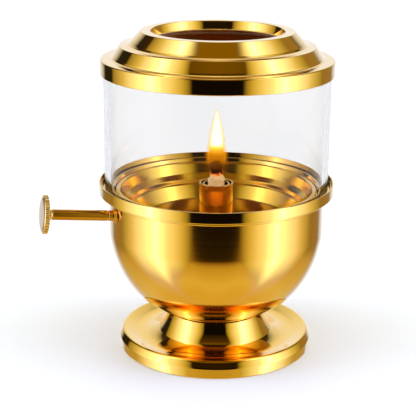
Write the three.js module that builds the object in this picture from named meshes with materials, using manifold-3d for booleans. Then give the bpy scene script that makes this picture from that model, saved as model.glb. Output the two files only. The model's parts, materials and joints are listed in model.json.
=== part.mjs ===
// A brass akhand diya: a wick lamp whose oil bowl stands on a saucer foot, with a glass chimney
// held in a gallery ring, a stepped lid on the glass and a side knob that winds the wick.
// Millimetres, +Z up. The origin is the centre of the foot's flat underside, on the lamp's axis,
// and the winding spindle leaves the lamp towards -X.
import * as THREE from 'three';
import { mergeVertices } from 'three/addons/utils/BufferGeometryUtils.js';
import Module from 'manifold-3d';

const wasm = await Module();
wasm.setup();

// Smoothness of the turned pieces
const largeSides = 40;
const smallSides = 24;
const tinySides = 16;

// Clearances
const seatGap = 0.3; // between a piece and the one it rests on
const slipGap = 0.3; // round a piece that drops into another
const bearingGap = 0.12; // round a turning shaft
const driveGap = 0.2; // between the spur wheel's teeth and the wick

// Small chamfers on turned and cut edges
const edgeBreak = 0.3;
const fineBreak = 0.2;

// Foot: a cast saucer round a waisted neck, hollow underneath round a solid middle boss
const neckRadius = 18.05;
const footHeight = 13.9;
const coveRadius = 11;
const footBrim = 7.4; // from under the cove's centre out to the rim
const saucerSlope = THREE.MathUtils.degToRad(40); // where the cove runs out into the saucer
const saucerFloor = 2.45; // metal under the saucer's lowest place
const saucerFlat = 1.6; // width of that lowest place
const footRimWidth = 3.15;
const footRimHeight = 6.45;
const footRimBelly = 1.95; // height up to which the rim's outside stands upright
const footRimRound = 1.2;
const footBossRadius = 10;
const footGrooveSpread = 3.4; // of the hollow's mouth beyond the neck
const footWall = 3.1;

// Oil bowl: a spun shell whose outline follows one power curve
const bowlRadius = 39.78;
const bowlWall = 1.2;
const bowlFloorWall = 1.4;
const bowlCurveDrop = 33.27; // depth at which the outline would reach the axis
const bowlCurvePower = 1.69;
const bowlCurveRoot = 2.94;
const bowlStraight = 13; // upright part below the mouth
const bowlSeatInset = 0.15; // of the seat inside the neck
const bowlSeatStep = 0.57; // from the curve in to the seat
const bowlSeatHeight = 0.64;

// Screw that holds the bowl on the foot
const screwRadius = 1.9;
const screwHeadRadius = 3.6;
const screwHeadHeight = 2.4;
const screwSlotWidth = 1;
const screwSlotDepth = 1.1;
const screwGrip = 9.8; // length of shank below the bowl
const screwHoleRun = 1; // of the hole past the screw's end
const washerRadius = 5.2;
const washerThickness = 0.8;

// Glass chimney
const glassOverhang = 1.62; // of the glass beyond the bowl's mouth
const glassWall = 2.2;
const glassHeight = 45.4;
const glassEdgeRound = 0.5;

// Gallery ring: a channel for the glass, a skirt in the bowl's mouth and a ledge for the pan
const galleryFloor = 1.8;
const galleryRimWall = 0.9;
const galleryRimGap = 1.2; // dark gap between the glass and the outer rim
const galleryRimHeight = 3.33;
const galleryBeadStep = 1.1; // how far the bead under the rim stands in
const galleryBeadHeight = 1;
const collarWall = 1.2;
const collarGap = 0.5; // inside the glass
const collarHeight = 2.1;
const skirtWall = 1.1;
const skirtDepth = 1.3;
const ledgeWidth = 0.9;
const ledgeDrop = 0.2;
const ledgeThickness = 1.1;

// Burner pan: a dished plate that closes the bowl
const panWall = 0.85;
const panDepth = 13.1; // from its lip to its floor
const panWallRun = 7.25; // from the wall's top in to the floor
const panFloorWall = 0.9;

// Wick, and the two tubes round it
const wickRadius = 3.25;
const wickFootHeight = 14.3; // of its lower end over the bowl's floor
const wickShown = 8.2; // above the burner tube
const wickTipRound = 1.1;
const sleeveWall = 0.7;
const sleeveGap = 1.15; // play for the oil between the wick and its sleeve
const wickBelowSleeve = 2;
const sleeveFlangeWidth = 0.9; // beyond the burner tube
const sleeveFlangeThickness = 0.6;
const burnerTubeGap = 0.55; // between the sleeve and the burner tube
const burnerTubeWall = 0.75;
const burnerTubeHeight = 13.3;
const sleeveSetBack = 0.3; // below the burner tube's mouth
const nutWall = 1.9; // at its flats
const nutHeight = 2.2;

// Winding gear: everything on the sloping spindle, measured outward from the spur wheel
const wheelRadius = 1.9;
const wheelRoot = 1.45;
const wheelTeeth = 12;
const wheelThickness = 2;
const spindleTilt = THREE.MathUtils.degToRad(5.48);
const wheelFloorGap = 0.25; // over the pan's floor
const spindleRadius = 1;
const spindleStub = 2.2; // past the spur wheel
const shankRadius = 1.95;
const shankLength = 20.1;
const knobSeatRadius = 1.2;
const knobSeatLength = 2.7;
const knobRadius = 6.95;
const knobThickness = 2;
const knobRidges = 28;
const knobRidgeDepth = 0.42;
const knobBevel = 0.45;
const knobHubRadius = 1.95;
const knobHubLength = 1.5;
const knobSkin = 0.7; // metal left over the spindle's end
const bushLength = 5.8;
const bushStandOff = 2.8; // of its outer end from the bowl
const bushWall = 0.65;
const bushMouthRadius = 1.95;
const bushFlareRadius = 2.75;
const bushFlareLength = 1.3;
const clipWidth = 1.3;
const clipThickness = 0.5;
const clipOpening = THREE.MathUtils.degToRad(70);

// Lid: a stepped spun cap, sizes as radius and as height over its skirt's lower edge
const lidSkirtWall = 0.85;
const lidSkirtDepth = 2.65; // below the glass's top
const lidLedgeWidth = 3;
const lidRimRise = 2.95; // of the rim's top over the ledge that rests on the glass
const lidRimRound = 0.7;
const lidRimLand = 4.6; // from the skirt's outside in to the lower bevel
const lidLowerBevelRun = 2.45;
const lidLand = 3.7; // between the two bevels
const lidUpperBevelRun = 3.95;
const lidLipWidth = 3.6;
const lidRimDish = 1.05; // rise of the rim's land
const lidLowerBevelRise = 3.7;
const lidLandRise = 1;
const lidUpperBevelRise = 4.2;
const lidWall = 1.3;
const lidThroatDepth = 3.4;
const lidThroatWall = 1.2;

// Places that follow from the sizes
const coveCentre = neckRadius + coveRadius;
const footRadius = coveCentre + footBrim;
const bowlSeatRadius = neckRadius - bowlSeatInset;
const bowlBottom = footHeight + seatGap;
const bowlSeatTop = bowlBottom + bowlSeatHeight;
const bowlSeatShare = (bowlSeatRadius + bowlSeatStep) / bowlRadius;
const bowlCurveDepth = bowlCurveDrop * (1 - bowlSeatShare ** bowlCurveRoot) ** (1 / bowlCurvePower);
const bowlShoulder = bowlSeatTop + bowlCurveDepth;
const bowlTop = bowlShoulder + bowlStraight;
const bowlInnerFloor = bowlBottom + bowlFloorWall;
const galleryUnderside = bowlTop + seatGap;
const channelFloor = galleryUnderside + galleryFloor;
const glassRadius = bowlRadius + glassOverhang;
const glassBottom = channelFloor + seatGap;
const glassTop = glassBottom + glassHeight;
const ledgeTop = channelFloor - ledgeDrop;
const collarOuter = glassRadius - glassWall - collarGap;
const collarInner = collarOuter - collarWall;
const rimInner = glassRadius + galleryRimGap;
const rimOuter = rimInner + galleryRimWall;
const ledgeInner = collarInner - ledgeWidth;
const panWallTop = ledgeInner - slipGap - panWall;
const panFloorRadius = panWallTop - panWallRun;
const panUnderside = ledgeTop + seatGap;
const panTop = panUnderside + panFloorWall;
const panFloor = panTop - panDepth;
const sleeveInner = wickRadius + sleeveGap;
const sleeveOuter = sleeveInner + sleeveWall;
const burnerTubeInner = sleeveOuter + burnerTubeGap;
const burnerTubeOuter = burnerTubeInner + burnerTubeWall;
const flangeBottom = panFloor + seatGap;
const burnerTubeBottom = flangeBottom + sleeveFlangeThickness + seatGap;
const burnerTubeTop = burnerTubeBottom + burnerTubeHeight;
const sleeveTop = burnerTubeTop - sleeveSetBack;
const wickTop = burnerTubeTop + wickShown;
const wickBottom = bowlInnerFloor + wickFootHeight;
const sleeveBottom = wickBottom + wickBelowSleeve;
const spindleOffset = -(wickRadius + driveGap + wheelRadius);
const lidBottom = glassTop + seatGap - lidSkirtDepth;
const lidSkirtInner = glassRadius + slipGap;
const lidSkirtOuter = lidSkirtInner + lidSkirtWall;
const lidLowerBevelFoot = lidSkirtOuter - lidRimLand;
const lidLowerBevelTop = lidLowerBevelFoot - lidLowerBevelRun;
const lidUpperBevelFoot = lidLowerBevelTop - lidLand;
const lidLipOuter = lidUpperBevelFoot - lidUpperBevelRun;
const lidLipInner = lidLipOuter - lidLipWidth;

// Stations along the spindle, outward from the spur wheel. The bush stands off the bowl's outside,
// where the spindle's axis comes through it.
const bowlCrossing = Math.sqrt(bowlRadius ** 2 - spindleOffset ** 2) / Math.cos(spindleTilt);
const bushOuterEnd = bowlCrossing + bushStandOff;
const bushInnerEnd = bushOuterEnd - bushLength;
const bushCore = spindleRadius + bearingGap + bushWall;
const clipOuterEnd = bushInnerEnd - seatGap;
const shankStart = bushOuterEnd + seatGap;
const shankEnd = shankStart + shankLength;
const knobStart = shankEnd + slipGap;
const knobInnerFace = knobStart + knobHubLength;
const knobOuterFace = knobInnerFace + knobThickness;

// Materials
const polishedBrass = new THREE.MeshStandardMaterial({ color: 0xd9a032, roughness: 0.16, metalness: 1 });
const satinBrass = new THREE.MeshStandardMaterial({ color: 0xdba53a, roughness: 0.3, metalness: 1 });
const agedBrass = new THREE.MeshStandardMaterial({ color: 0xa8691c, roughness: 0.32, metalness: 1 });
const clearGlass = new THREE.MeshStandardMaterial({
  color: 0xf4f6f8,
  roughness: 0.04,
  metalness: 0,
  transparent: true,
  opacity: 0.28,
});
const cotton = new THREE.MeshStandardMaterial({ color: 0xd9b47c, roughness: 0.95, metalness: 0 });
const springSteel = new THREE.MeshStandardMaterial({ color: 0x8d8f92, roughness: 0.35, metalness: 1 });
const sealRubber = new THREE.MeshStandardMaterial({ color: 0x3a2f28, roughness: 0.85, metalness: 0 });

const lamp = new THREE.Group();

// The frame of the winding gear: its +Z runs outward along the spindle from the spur wheel's middle
const winderFrame = new THREE.Group();
winderFrame.position.set(0, spindleOffset, panFloor + wheelFloorGap + wheelRadius);
winderFrame.rotation.y = spindleTilt - Math.PI / 2;
winderFrame.updateMatrix();
lamp.add(winderFrame);

// A round solid from an outline of [radius, height] pairs. An outline that starts off the axis goes
// round it as a ring.
function turned(outline, sides) {
  const points = outline.map(([radius, height]) => new THREE.Vector2(radius, height));
  if (THREE.ShapeUtils.area(points) < 0) {
    points.reverse();
  }
  if (outline[0][0] > 0) {
    points.push(points[0].clone());
  }
  return new THREE.LatheGeometry(points, sides).rotateX(Math.PI / 2);
}

// A plain rod along Z
function rod(radius, from, to, sides) {
  return turned([[0, from], [radius, from], [radius, to], [0, to]], sides);
}

// Outline points on an arc about [radius, height], between two angles measured from the +radius side
function arc(radius, height, size, fromDegrees, toDegrees, steps) {
  const points = [];
  for (let step = 0; step <= steps; step += 1) {
    const degrees = THREE.MathUtils.lerp(fromDegrees, toDegrees, step / steps);
    const angle = THREE.MathUtils.degToRad(degrees);
    points.push([radius + size * Math.cos(angle), height + size * Math.sin(angle)]);
  }
  return points;
}

function toSolid(geometry) {
  const bare = geometry.clone();
  bare.deleteAttribute('normal');
  bare.deleteAttribute('uv');
  const merged = mergeVertices(bare, 1e-4);
  const vertProperties = new Float32Array(merged.attributes.position.array);
  const triVerts = new Uint32Array(merged.index.array);
  return new wasm.Manifold(new wasm.Mesh({ numProp: 3, vertProperties, triVerts }));
}

function toGeometry(solid) {
  const mesh = solid.getMesh();
  const geometry = new THREE.BufferGeometry();
  geometry.setAttribute('position', new THREE.BufferAttribute(new Float32Array(mesh.vertProperties), 3));
  geometry.setIndex(new THREE.BufferAttribute(new Uint32Array(mesh.triVerts), 1));
  geometry.computeVertexNormals();
  return geometry;
}

function cut(geometry, ...tools) {
  return toGeometry(tools.reduce((solid, tool) => solid.subtract(toSolid(tool)), toSolid(geometry)));
}

function join(geometry, ...others) {
  return toGeometry(others.reduce((solid, other) => solid.add(toSolid(other)), toSolid(geometry)));
}

// A tool made in the winder's frame, moved to where the lamp's own pieces are
function fromWinder(geometry) {
  return geometry.applyMatrix4(winderFrame.matrix);
}

function addPiece(parent, name, geometry, material) {
  const piece = new THREE.Mesh(geometry, material);
  piece.name = name;
  parent.add(piece);
}

// Foot: a neck whose cove runs straight down into the saucer, and a rounded rim that the saucer rises
// to. The underside is flat, with a hollow round the boss.
// The screw's hole is blind, so the underside has metal on the lamp's axis.
function makeFoot() {
  const hollowTop = footHeight - footWall;
  const rimCentre = footRadius - footRimWidth + footRimRound;
  const rimLip = footRimHeight - footRimRound;
  const slopeDegrees = THREE.MathUtils.radToDeg(saucerSlope);
  const slopeTop = footHeight - coveRadius * Math.cos(saucerSlope);
  const slopeRun = (slopeTop - saucerFloor) / Math.tan(saucerSlope);
  const saucerStart = coveCentre - coveRadius * Math.sin(saucerSlope) + slopeRun;
  const holeRadius = screwRadius + slipGap;
  const holeFloor = footHeight - screwGrip - screwHoleRun;
  return turned([
    [0, 0],
    [footBossRadius, 0],
    [footBossRadius, hollowTop],
    [neckRadius - footWall, hollowTop],
    [neckRadius + footGrooveSpread, 0],
    [footRadius - edgeBreak, 0],
    [footRadius, edgeBreak],
    [footRadius, footRimBelly],
    ...arc(rimCentre, rimLip, footRimRound, 20, 120, 4),
    [saucerStart + saucerFlat, saucerFloor],
    [saucerStart, saucerFloor],
    ...arc(coveCentre, footHeight, coveRadius, 270 - slopeDegrees, 183, 7),
    [neckRadius, footHeight - edgeBreak],
    [neckRadius - edgeBreak, footHeight],
    [holeRadius, footHeight],
    [holeRadius, holeFloor],
    [0, holeFloor - holeRadius / 3],
  ], largeSides);
}

// Bowl: the radius of one of its faces at a height, on the power curve
function bowlOutline(radius, drop, height) {
  const share = THREE.MathUtils.clamp((bowlShoulder - height) / drop, 0, 1);
  return radius * (1 - share ** bowlCurvePower) ** (1 / bowlCurveRoot);
}

function bowlCurve(radius, drop, lowest, steps) {
  const points = [];
  for (let step = 0; step <= steps; step += 1) {
    const height = bowlShoulder - (bowlShoulder - lowest) * Math.sin((step / steps) * Math.PI / 2);
    points.push([bowlOutline(radius, drop, height), height]);
  }
  return points;
}

function bowlOuterShape(growth) {
  const wall = bowlCurve(bowlRadius + growth, bowlCurveDrop + growth, bowlSeatTop, 12);
  return [[bowlRadius + growth, bowlTop], ...wall];
}

function makeBowl() {
  const hole = screwRadius + slipGap;
  const innerDrop = bowlCurveDrop - bowlWall;
  const inner = bowlCurve(bowlRadius - bowlWall, innerDrop, bowlInnerFloor, 9).reverse();
  const shell = turned([
    ...bowlOuterShape(0),
    [bowlSeatRadius, bowlSeatTop],
    [bowlSeatRadius, bowlBottom],
    [hole, bowlBottom],
    [hole, bowlInnerFloor],
    ...inner,
    [bowlRadius - bowlWall, bowlTop],
  ], largeSides);
  const bushHole = fromWinder(rod(bushCore + slipGap, bushInnerEnd - 2, bushOuterEnd + 2, smallSides));
  return cut(shell, bushHole);
}

function makeScrew() {
  const headBottom = bowlInnerFloor + seatGap + washerThickness + seatGap;
  const headTop = headBottom + screwHeadHeight;
  const tip = footHeight - screwGrip;
  const body = turned([
    [0, tip],
    [screwRadius - 0.4, tip],
    [screwRadius, tip + 0.4],
    [screwRadius, headBottom],
    [screwHeadRadius, headBottom],
    [screwHeadRadius, headTop - 0.6],
    [screwHeadRadius - 0.6, headTop],
    [0, headTop],
  ], smallSides);
  const slot = new THREE.BoxGeometry(screwHeadRadius * 3, screwSlotWidth, screwSlotDepth * 2);
  slot.translate(0, 0, headTop);
  return cut(body, slot);
}

function makeWasher() {
  const bottom = bowlInnerFloor + seatGap;
  const hole = screwRadius + slipGap;
  return turned([
    [hole, bottom],
    [washerRadius, bottom],
    [washerRadius, bottom + washerThickness],
    [hole, bottom + washerThickness],
  ], smallSides);
}

function makeGalleryRing() {
  const skirtOuter = bowlRadius - bowlWall - slipGap;
  const skirtBottom = galleryUnderside - skirtDepth;
  const rimBottom = galleryUnderside + galleryBeadHeight;
  const rimTop = channelFloor + galleryRimHeight;
  const collarTop = channelFloor + collarHeight;
  const ledgeBottom = ledgeTop - ledgeThickness;
  const beadRadius = rimOuter - galleryBeadStep;
  return turned([
    [skirtOuter - skirtWall, skirtBottom],
    [skirtOuter, skirtBottom],
    [skirtOuter, galleryUnderside],
    [beadRadius - edgeBreak, galleryUnderside],
    [beadRadius, galleryUnderside + edgeBreak],
    [beadRadius, rimBottom],
    [rimOuter - edgeBreak, rimBottom],
    [rimOuter, rimBottom + edgeBreak],
    [rimOuter, rimTop - edgeBreak],
    [rimOuter - edgeBreak, rimTop],
    [rimInner + fineBreak, rimTop],
    [rimInner, rimTop - fineBreak],
    [rimInner, channelFloor],
    [collarOuter, channelFloor],
    [collarOuter, collarTop - edgeBreak],
    [collarOuter - edgeBreak, collarTop],
    [collarInner + edgeBreak, collarTop],
    [collarInner, collarTop - edgeBreak],
    [collarInner, ledgeTop],
    [ledgeInner, ledgeTop],
    [ledgeInner, ledgeBottom],
  ], largeSides);
}

// Pan: a lip on the gallery's ledge, a stepped wall, and a flat floor with a hole for the sleeve.
// The wall's outline is its upper face, as [share of the way in to the floor, share of the depth].
function makePan() {
  const lipOuter = collarInner - slipGap;
  const steps = [
    [0, 0.05],
    [0.1, 0.27],
    [0.21, 0.46],
    [0.28, 0.535],
    [0.36, 0.565],
    [0.5, 0.675],
    [0.73, 0.845],
    [1, 1],
  ];
  const upper = steps.map(([inward, down]) => [panWallTop - panWallRun * inward, panTop - panDepth * down]);
  const lower = upper.map(([radius, height]) => [radius + panWall, height - panFloorWall]).reverse();
  const hole = sleeveOuter + slipGap;
  const plate = turned([
    [lipOuter, panUnderside],
    [lipOuter, panTop - edgeBreak],
    [lipOuter - edgeBreak, panTop],
    [panWallTop + edgeBreak, panTop],
    ...upper,
    [hole, panFloor],
    [hole, panFloor - panFloorWall],
    ...lower,
    [panWallTop + panWall, panUnderside],
  ], largeSides);
  const spindleHole = fromWinder(rod(spindleRadius + slipGap * 2, panFloorRadius - 6, clipOuterEnd, tinySides));
  return cut(plate, spindleHole);
}

// The room that the spindle and the spur wheel need through the tubes round the wick
function driveTools() {
  const wheelRoom = rod(wheelRadius + slipGap, -wheelThickness / 2 - slipGap, wheelThickness / 2 + slipGap, smallSides);
  const spindleRoom = rod(spindleRadius + slipGap, -spindleStub - slipGap, burnerTubeOuter + 4, tinySides);
  return [fromWinder(wheelRoom), fromWinder(spindleRoom)];
}

function makeBurnerTube() {
  const tube = turned([
    [burnerTubeInner, burnerTubeBottom],
    [burnerTubeOuter, burnerTubeBottom],
    [burnerTubeOuter, burnerTubeTop - fineBreak],
    [burnerTubeOuter - fineBreak, burnerTubeTop],
    [burnerTubeInner + fineBreak, burnerTubeTop],
    [burnerTubeInner, burnerTubeTop - fineBreak],
  ], smallSides);
  const width = (spindleRadius + slipGap) * 2;
  const length = burnerTubeOuter + 4 + spindleStub + slipGap;
  const openFoot = new THREE.BoxGeometry(width, width, length);
  openFoot.translate(-width / 2, 0, length / 2 - spindleStub - slipGap);
  return cut(tube, ...driveTools(), fromWinder(openFoot));
}

function makeSleeve() {
  const flangeTop = flangeBottom + sleeveFlangeThickness;
  const flangeRadius = burnerTubeOuter + sleeveFlangeWidth;
  const sleeve = turned([
    [sleeveInner, sleeveBottom],
    [sleeveOuter, sleeveBottom],
    [sleeveOuter, flangeBottom],
    [flangeRadius, flangeBottom],
    [flangeRadius, flangeTop],
    [sleeveOuter, flangeTop],
    [sleeveOuter, sleeveTop - fineBreak],
    [sleeveOuter - fineBreak, sleeveTop],
    [sleeveInner + fineBreak, sleeveTop],
    [sleeveInner, sleeveTop - fineBreak],
  ], smallSides);
  return cut(sleeve, ...driveTools());
}

function makeSleeveNut() {
  const corner = (sleeveOuter + nutWall) / Math.cos(Math.PI / 6);
  const hexagon = new THREE.Shape();
  for (let side = 0; side < 6; side += 1) {
    const angle = (side * Math.PI) / 3;
    const x = corner * Math.cos(angle);
    const y = corner * Math.sin(angle);
    if (side === 0) {
      hexagon.moveTo(x, y);
    } else {
      hexagon.lineTo(x, y);
    }
  }
  hexagon.closePath();
  const hole = new THREE.Path();
  hole.absarc(0, 0, sleeveOuter + slipGap, 0, Math.PI * 2, true);
  hexagon.holes.push(hole);
  const nut = new THREE.ExtrudeGeometry(hexagon, { depth: nutHeight, bevelEnabled: false, curveSegments: 12 });
  return nut.translate(0, 0, panFloor - panFloorWall - seatGap - nutHeight);
}

function makeWick() {
  return turned([
    [0, wickBottom],
    [wickRadius - 0.3, wickBottom],
    [wickRadius, wickBottom + 0.3],
    [wickRadius, wickTop - wickTipRound * 3],
    [wickRadius - wickTipRound * 0.5, wickTop - wickTipRound * 1.2],
    [wickRadius - wickTipRound, wickTop - wickTipRound * 0.4],
    [wickRadius - wickTipRound * 2, wickTop],
    [0, wickTop],
  ], smallSides);
}

function makeGlass() {
  const inner = glassRadius - glassWall;
  const round = glassEdgeRound;
  return turned([
    ...arc(glassRadius - round, glassBottom + round, round, -90, 0, 2),
    ...arc(glassRadius - round, glassTop - round, round, 0, 90, 2),
    ...arc(inner + round, glassTop - round, round, 90, 180, 2),
    ...arc(inner + round, glassBottom + round, round, 180, 270, 2),
  ], largeSides);
}

// Lid: a skirt over the glass, a rounded rim, two bevels parted by a dished land, and a throat
function makeLid() {
  const ledge = glassTop + seatGap;
  const ledgeEdge = lidSkirtInner - lidLedgeWidth;
  const rimTop = ledge + lidRimRise;
  const lowerStart = rimTop + lidRimDish;
  const lowerEnd = lowerStart + lidLowerBevelRise;
  const upperStart = lowerEnd + lidLandRise;
  const top = upperStart + lidUpperBevelRise;
  const throatBottom = top - lidThroatDepth;
  const skin = lidWall * 0.6; // how far the inner face stands in from the outer one
  return turned([
    [lidSkirtInner, lidBottom],
    [lidSkirtOuter - edgeBreak, lidBottom],
    [lidSkirtOuter, lidBottom + edgeBreak],
    ...arc(lidSkirtOuter - lidRimRound, rimTop - lidRimRound, lidRimRound, 0, 90, 3),
    [lidLowerBevelFoot + lidRimDish, rimTop + lidRimDish * 0.1],
    [lidLowerBevelFoot + lidRimDish * 0.3, rimTop + lidRimDish * 0.4],
    [lidLowerBevelFoot, lowerStart],
    [lidLowerBevelTop, lowerEnd - edgeBreak],
    [lidLowerBevelTop - edgeBreak, lowerEnd],
    [lidUpperBevelFoot + lidLandRise * 2, lowerEnd + lidLandRise * 0.1],
    [lidUpperBevelFoot + lidLandRise * 0.7, lowerEnd + lidLandRise * 0.4],
    [lidUpperBevelFoot, upperStart],
    [lidLipOuter + edgeBreak, top - edgeBreak],
    [lidLipOuter - edgeBreak, top],
    [lidLipInner + edgeBreak, top],
    [lidLipInner, top - edgeBreak],
    [lidLipInner, throatBottom],
    [lidLipInner + lidThroatWall, throatBottom],
    [lidLipInner + lidThroatWall, top - lidWall],
    [lidLipOuter - skin, top - lidWall],
    [lidUpperBevelFoot - skin, upperStart - lidWall],
    [lidLowerBevelTop - skin, lowerEnd - lidWall],
    [lidLowerBevelFoot - skin, lowerStart - lidWall],
    [ledgeEdge, rimTop - lidWall],
    [ledgeEdge, ledge],
    [lidSkirtInner, ledge],
  ], largeSides);
}

// Bush: a tube through the bowl's wall, flared where it meets the wall outside
function makeBush() {
  const outside = turned([
    [0, bowlCrossing - 3],
    [bushFlareRadius, bowlCrossing - 3],
    [bushFlareRadius, bowlCrossing],
    [bushMouthRadius + 0.25, bowlCrossing + bushFlareLength * 0.45],
    [bushMouthRadius, bowlCrossing + bushFlareLength],
    [bushMouthRadius, bushOuterEnd - 0.25],
    [bushMouthRadius - 0.25, bushOuterEnd],
    [0, bushOuterEnd],
  ], smallSides);
  const bowlBody = turned([
    [0, bowlTop],
    ...bowlOuterShape(slipGap * 0.5),
    [0, bowlSeatTop],
  ], largeSides);
  const flare = cut(fromWinder(outside), bowlBody);
  const core = fromWinder(rod(bushCore, bushInnerEnd, bushOuterEnd - 1, smallSides));
  const bore = fromWinder(rod(spindleRadius + bearingGap, bushInnerEnd - 1, bushOuterEnd + 1, tinySides));
  return cut(join(flare, core), bore);
}

function makeSpindle() {
  return turned([
    [0, -spindleStub],
    [spindleRadius - 0.2, -spindleStub],
    [spindleRadius, -spindleStub + 0.2],
    [spindleRadius, shankStart],
    [shankRadius - 0.25, shankStart],
    [shankRadius, shankStart + 0.25],
    [shankRadius, shankEnd],
    [knobSeatRadius, shankEnd],
    [knobSeatRadius, shankEnd + knobSeatLength],
    [0, shankEnd + knobSeatLength],
  ], smallSides);
}

function makeClip() {
  const inner = spindleRadius + bearingGap;
  const outer = inner + clipWidth;
  const shape = new THREE.Shape();
  shape.absarc(0, 0, outer, clipOpening / 2, Math.PI * 2 - clipOpening / 2, false);
  shape.absarc(0, 0, inner, Math.PI * 2 - clipOpening / 2, clipOpening / 2, true);
  shape.closePath();
  const clip = new THREE.ExtrudeGeometry(shape, { depth: clipThickness, bevelEnabled: false, curveSegments: 12 });
  return clip.translate(0, 0, clipOuterEnd - clipThickness);
}

// A toothed outline: each ridge has a flat crest and a flat root
function toothedShape(count, crest, root) {
  const shape = new THREE.Shape();
  const pitch = (Math.PI * 2) / count;
  for (let tooth = 0; tooth < count; tooth += 1) {
    const start = tooth * pitch;
    const corners = [[root, -0.4], [crest, -0.2], [crest, 0.2], [root, 0.4]];
    corners.forEach(([radius, share], index) => {
      const angle = start + pitch * share;
      const x = radius * Math.cos(angle);
      const y = radius * Math.sin(angle);
      if (tooth === 0 && index === 0) {
        shape.moveTo(x, y);
      } else {
        shape.lineTo(x, y);
      }
    });
  }
  shape.closePath();
  return shape;
}

function makeWheel() {
  const shape = toothedShape(wheelTeeth, wheelRadius, wheelRoot);
  const hole = new THREE.Path();
  hole.absarc(0, 0, spindleRadius + bearingGap, 0, Math.PI * 2, true);
  shape.holes.push(hole);
  const wheel = new THREE.ExtrudeGeometry(shape, { depth: wheelThickness, bevelEnabled: false, curveSegments: 10 });
  return wheel.translate(0, 0, -wheelThickness / 2);
}

// Knob: a ridged disc with a smooth bevelled outer face, a hub and a blind hole for the spindle
function makeKnob() {
  const shape = toothedShape(knobRidges, knobRadius, knobRadius - knobRidgeDepth);
  const disc = new THREE.ExtrudeGeometry(shape, { depth: knobThickness - knobBevel, bevelEnabled: false });
  disc.translate(0, 0, knobInnerFace);
  const faceRadius = knobRadius - knobRidgeDepth - 0.1;
  const face = turned([
    [0, knobOuterFace - knobBevel - 0.5],
    [faceRadius, knobOuterFace - knobBevel - 0.5],
    [faceRadius, knobOuterFace - knobBevel],
    [faceRadius - knobBevel * 0.7, knobOuterFace - knobBevel * 0.3],
    [faceRadius - knobBevel * 2, knobOuterFace],
    [0, knobOuterFace],
  ], smallSides);
  const hub = turned([
    [0, knobStart],
    [knobHubRadius - 0.3, knobStart],
    [knobHubRadius, knobStart + 0.3],
    [knobHubRadius, knobInnerFace + 0.3],
    [0, knobInnerFace + 0.3],
  ], smallSides);
  const hole = rod(knobSeatRadius + bearingGap, knobStart - 1, knobOuterFace - knobSkin, tinySides);
  return cut(join(disc, face, hub), hole);
}

addPiece(lamp, 'foot', makeFoot(), polishedBrass);
addPiece(lamp, 'bowl', makeBowl(), satinBrass);
addPiece(lamp, 'bowl_screw', makeScrew(), agedBrass);
addPiece(lamp, 'screw_seal_washer', makeWasher(), sealRubber);
addPiece(lamp, 'gallery_ring', makeGalleryRing(), polishedBrass);
addPiece(lamp, 'burner_pan', makePan(), satinBrass);
addPiece(lamp, 'burner_tube', makeBurnerTube(), agedBrass);
addPiece(lamp, 'wick_sleeve', makeSleeve(), agedBrass);
addPiece(lamp, 'sleeve_nut', makeSleeveNut(), agedBrass);
addPiece(lamp, 'wick', makeWick(), cotton);
addPiece(lamp, 'glass_chimney', makeGlass(), clearGlass);
addPiece(lamp, 'lid_cap', makeLid(), polishedBrass);
addPiece(lamp, 'spindle_bush', makeBush(), agedBrass);
addPiece(winderFrame, 'spindle', makeSpindle(), agedBrass);
addPiece(winderFrame, 'spindle_clip', makeClip(), springSteel);
addPiece(winderFrame, 'wick_wheel', makeWheel(), agedBrass);
addPiece(winderFrame, 'knob', makeKnob(), satinBrass);

export default lamp;
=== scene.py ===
# %% [markdown]
# # A brass oil lamp with a glass chimney
#
# The lamp stands on a saucer foot. A round bowl holds the oil, a ring on its mouth holds the glass,
# and a stepped lid sits on top. A knob at the side winds the wick. Everything that can be turned on
# a lathe was, so most of this lesson is about one tool, a lathe made of Geometry Nodes, and about
# the studio, because polished metal looks like what stands round it.

# %% Load the frame
import math

import bmesh
import bpy
from mathutils import Matrix, Vector, noise
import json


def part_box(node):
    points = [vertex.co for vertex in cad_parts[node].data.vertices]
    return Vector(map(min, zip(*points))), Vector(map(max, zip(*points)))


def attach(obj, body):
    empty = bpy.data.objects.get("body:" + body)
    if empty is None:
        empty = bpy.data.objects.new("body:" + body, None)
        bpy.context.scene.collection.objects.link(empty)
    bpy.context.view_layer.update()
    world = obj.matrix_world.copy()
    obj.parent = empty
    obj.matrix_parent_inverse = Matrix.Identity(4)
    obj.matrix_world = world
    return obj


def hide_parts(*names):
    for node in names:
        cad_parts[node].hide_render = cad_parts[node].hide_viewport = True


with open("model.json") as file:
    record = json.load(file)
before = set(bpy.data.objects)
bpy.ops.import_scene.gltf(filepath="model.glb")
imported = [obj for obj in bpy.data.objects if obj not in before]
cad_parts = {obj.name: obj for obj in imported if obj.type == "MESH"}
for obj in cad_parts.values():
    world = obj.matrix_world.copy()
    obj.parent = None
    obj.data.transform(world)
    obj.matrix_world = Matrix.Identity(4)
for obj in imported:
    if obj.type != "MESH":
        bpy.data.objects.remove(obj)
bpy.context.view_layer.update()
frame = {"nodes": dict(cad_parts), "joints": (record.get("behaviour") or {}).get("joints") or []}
mm = 0.001

# %% [markdown]
# The camera comes first, so that each piece can be compared with the photograph as soon as it is
# made. It stands well back with a long lens, looks down a little and leans by half a degree. The
# lamp is turned about its own axis until its knob points where the photograph has it.

# %% Camera
LAMP_TURN = math.radians(16.4)
CAMERA_DISTANCE = 435.7 * mm
CAMERA_HEIGHT = 184.5 * mm
CAMERA_ASIDE = -2.99 * mm
CAMERA_DOWN = math.radians(16.765)
CAMERA_LEAN = math.radians(0.5)
FOCAL_PIXELS = 1213.9
FRAME_PIXELS = 416
SENSOR_WIDTH = 36


def new_object(name, data):
    made = bpy.data.objects.new(name, data)
    bpy.context.scene.collection.objects.link(made)
    return made


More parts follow.
